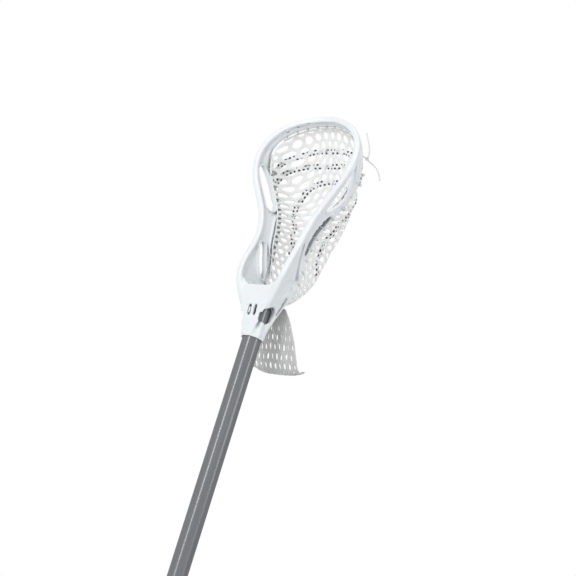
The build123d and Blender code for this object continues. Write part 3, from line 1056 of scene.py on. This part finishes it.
# Woven lace: a fine rib across it about 1 mm apart, drawn 2.7 mm apart to show, and the
# black tracer as short dashes that alternate from one edge to the other.
tracer, nodes, shader = new_material("woven_lace_with_tracer")
set_finish(shader, Roughness=0.7, Sheen_Weight=0.2, Sheen_Roughness=0.4)
map_of = add_node(nodes, "ShaderNodeTexCoord")
split = add_node(nodes, "ShaderNodeSeparateXYZ", Vector=map_of.outputs["UV"])
edge = add_node(nodes, "ShaderNodeMath", {"operation": "ABSOLUTE"}, i0=split.outputs["Y"])
at_edge = add_node(
    nodes, "ShaderNodeMath", {"operation": "GREATER_THAN"},
    i0=edge.outputs[0], i1=LACE_WIDTH * FLECK_FROM,
)
half_step = add_node(
    nodes, "ShaderNodeMath", {"operation": "GREATER_THAN"}, i0=split.outputs["Y"], i1=0.0
)
stepped = add_node(
    nodes, "ShaderNodeMath", {"operation": "MULTIPLY_ADD"},
    i0=half_step.outputs[0], i1=FLECK_STEP / 2, i2=split.outputs["X"],
)
cycle = add_node(
    nodes, "ShaderNodeMath", {"operation": "PINGPONG"}, i0=stepped.outputs[0], i1=FLECK_STEP / 2
)
dash = add_node(
    nodes, "ShaderNodeMath", {"operation": "LESS_THAN"}, i0=cycle.outputs[0], i1=FLECK_LENGTH / 2
)
fleck = add_node(
    nodes, "ShaderNodeMath", {"operation": "MULTIPLY"}, i0=dash.outputs[0], i1=at_edge.outputs[0]
)
tone = add_node(
    nodes, "ShaderNodeMix", {"data_type": "RGBA"},
    i0=fleck.outputs[0], i6=colour("F1F1F2"), i7=colour("15161B"),
)
nodes.links.new(tone.outputs[2], shader.inputs["Base Color"])
rib = add_node(
    nodes, "ShaderNodeTexWave", {"bands_direction": "X"}, Vector=map_of.outputs["UV"], Scale=115
)
bump = add_node(nodes, "ShaderNodeBump", Height=rib.outputs["Fac"], Strength=0.4, Distance=0.0003)
nodes.links.new(bump.outputs[0], shader.inputs["Normal"])


def crossing_stops(middle, drop):
    """Stops of a straight lace from rail to rail; it drops most near its ends."""
    return [(degrees, middle - drop * (degrees / 80) ** 4) for degrees in range(-89, 90, 2)]


def eased(stops, steps):
    """Smooth route through (degrees, height) stops, by Catmull and Rom's curve."""
    route = []
    for index in range(len(stops) - 1):
        p0 = Vector(stops[max(index - 1, 0)])
        p1 = Vector(stops[index])
        p2 = Vector(stops[index + 1])
        p3 = Vector(stops[min(index + 2, len(stops) - 1)])
        for step in range(steps):
            t = step / steps
            point = 2 * p1 + (p2 - p0) * t + (2 * p0 - 5 * p1 + 4 * p2 - p3) * t**2
            point += (3 * p1 - p0 - 3 * p2 + p3) * t**3
            route.append(tuple(point / 2))
    return route + [tuple(stops[-1])]


lace("lace_top", "shooting_lace_top", crossing_stops(*LACE_TOP))
lace("lace_middle", "shooting_lace_middle", crossing_stops(*LACE_MIDDLE))
right_leg = eased(LACE_U, 12)
left_leg = [(-degrees, height) for degrees, height in reversed(right_leg[1:])]
lace("lace_u", "shooting_lace_u", left_leg + right_leg)

# --- The strings -----------------------------------------------------------------------
# Braided polyester string ties the mesh to the head. It runs along the inside of the back
# rail, is looped round the rail every 17 mm, and its ends are stopped with knots.
LOOP_STEP = 17.0
LOOP_RADIUS = 4.0 * MM
LOOP_STRING = 0.9 * MM
SCOOP_LOOP_RADIUS = 2.6 * MM
# How far a loop's middle stands off the string, in shares of its radius.
LOOP_REACH = 0.84
# The first loop's height above the string's lower end, and the last one's below its upper.
LOOP_FROM = 0.006
LOOP_TO = 0.004
# A string's direction is taken from its middles this far apart.
LOOK_AHEAD = 0.002
SCOOP_LOOPS = 9
SCOOP_LOOK_AHEAD = 0.001


def where_it_crosses(node, axis, level):
    """Middle of a string where it crosses a level plane of one axis."""
    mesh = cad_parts[node].data
    found = []
    for edge in mesh.edges:
        a, b = [mesh.vertices[index].co for index in edge.vertices]
        if (a[axis] - level) * (b[axis] - level) < 0:
            found.append(a.lerp(b, (level - a[axis]) / (b[axis] - a[axis])))
    return sum(found, Vector()) / len(found) if found else None


def loop_round(place, run, out, name, radius=LOOP_RADIUS):
    """String loop round the rail that stands outwards of and in front of the string."""
    centre = place + (out - Vector((0, 1, 0))) * radius * LOOP_REACH
    bpy.ops.mesh.primitive_torus_add(
        major_segments=28, minor_segments=10, major_radius=radius, minor_radius=LOOP_STRING
    )
    ring = bpy.context.object
    ring.name = name
    front = run.cross(out)
    ring.data.transform(Matrix((out, front, run)).transposed().to_4x4())
    ring.data.transform(Matrix.Translation(centre))
    bpy.ops.object.shade_smooth()
    return ring


def joined(name, pieces, material, body):
    """Joins like pieces into one, with its material and body."""
    select_only(*pieces)
    if len(pieces) > 1:
        bpy.ops.object.join()
    piece = bpy.context.object
    piece.name = name
    give_finish(piece, material)
    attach(piece, body)
    return piece


# Steps round a knot and corners round its string, and the string's radius in the knot, in
# shares of the knot's size.
KNOT_STEPS = 60
KNOT_CORNERS = 8
KNOT_STRING = 1.15


def knot_at(place, turn, size):
    """Overhand knot pulled small: a three-lobed loop of string through itself."""
    places = []
    for step in range(KNOT_STEPS):
        t = 2 * math.pi * step / KNOT_STEPS
        point = Vector((
            math.sin(t) + 2 * math.sin(2 * t),
            math.cos(t) - 2 * math.cos(2 * t),
            -1.3 * math.sin(3 * t),
        ))
        places.append(Matrix.Rotation(turn, 3, "X") @ point * size + place)
    points = []
    for index, here in enumerate(places):
        run = (places[(index + 1) % KNOT_STEPS] - places[index - 1]).normalized()
        out = (here - place).normalized()
        out = (out - run * out.dot(run)).normalized()
        across = run.cross(out)
        for corner in range(KNOT_CORNERS):
            angle = 2 * math.pi * corner / KNOT_CORNERS
            spoke = out * math.cos(angle) + across * math.sin(angle)
            points.append(here + spoke * size * KNOT_STRING)
    faces = []
    for index in range(KNOT_STEPS):
        for corner in range(KNOT_CORNERS):
            a = index * KNOT_CORNERS + corner
            b = index * KNOT_CORNERS + (corner + 1) % KNOT_CORNERS
            c = (b + KNOT_CORNERS) % len(points)
            d = (a + KNOT_CORNERS) % len(points)
            faces.append((a, b, c, d))
    piece = mesh_piece("knot", points, faces)
    turn_faces_out(piece)
    bpy.ops.object.shade_smooth()
    return piece


for node in ("sidewall_string_right", "sidewall_string_left", "top_string", "bottom_string"):
    give_finish(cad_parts[node], braid)

KNOT_SIZE = 0.85 * MM
# The knot that ends a sidewall string at its top, in millimetres from the datum, on the
# right side of the head.
TOP_KNOT = (80.7, 18.8, 274.2)
# Heights of the knots that tie off the laces, and how far off the string they sit.
LACE_KNOT_HEIGHTS = (252, 240, 206)
LACE_KNOT_OUT = 0.0072
LACE_KNOT_BACK = 0.0008
STUB_SECTION = [
    (LOOP_STRING * math.cos(a * math.pi / 4), LOOP_STRING * math.sin(a * math.pi / 4))
    for a in range(8)
]
for side, word in ((1, "right"), (-1, "left")):
    node = "sidewall_string_" + word
    low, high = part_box(node)
    level = low[2] + LOOP_FROM
    loops = []
    turns = 0
    while level < high[2] - LOOP_TO:
        here = where_it_crosses(node, 2, level)
        ahead = where_it_crosses(node, 2, level + LOOK_AHEAD)
        if here and ahead:
            run = (ahead - here).normalized()
            out = Vector((run.z, 0, -run.x)).normalized() * side
            # Each loop leans its own way, as loops pulled tight by hand do.
            lean = 0.22 * math.sin(2.4 * turns)
            leaning = (run + Vector((0, lean, lean))).normalized()
            loops.append(loop_round(here, leaning, out, "rail_loop"))
        level += LOOP_STEP * MM
        turns += 1
    joined("rail_loops_" + word, loops, braid, "stick")
    low_knot = where_it_crosses(node, 2, low[2] + 0.002) + Vector((0, 0.001, 0))
    top_knot = placed(side * TOP_KNOT[0], *TOP_KNOT[1:])
    top_end = where_it_crosses(node, 2, high[2] - 0.001)
    ends = [
        knot_at(low_knot, 0.4, KNOT_SIZE),
        knot_at(top_knot, 1.2, KNOT_SIZE * 0.85),
        swept("stub", [top_end, top_knot], [Vector((0, 0, 1))] * 2, STUB_SECTION),
    ]
    knots = joined("string_knots_" + word, ends, braid, "stick")
    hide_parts("sidewall_knots_" + word)
    # The laces' ends are knotted on the outside of the rail, where each lace reaches it.
    tied = []
    for height in LACE_KNOT_HEIGHTS:
        here = where_it_crosses(node, 2, placed(0, 0, height).z)
        spot = here + Vector((side * LACE_KNOT_OUT, LACE_KNOT_BACK, 0))
        tied.append(knot_at(spot, 0.3 * height, KNOT_SIZE * 0.95))
    joined("lace_knots_" + word, tied, braid, "stick")

low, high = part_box("top_string")
loops = []
for index in range(SCOOP_LOOPS):
    share = index / (SCOOP_LOOPS - 1)
    level = low[0] + LOOP_FROM + (high[0] - low[0] - 2 * LOOP_FROM) * share
    here = where_it_crosses("top_string", 0, level)
    ahead = where_it_crosses("top_string", 0, level + SCOOP_LOOK_AHEAD)
    run = (ahead - here).normalized()
    out = Vector((-run.z, 0, run.x)).normalized()
    loops.append(loop_round(here, run, out, "scoop_loop", SCOOP_LOOP_RADIUS))
joined("scoop_loops", loops, braid, "stick")
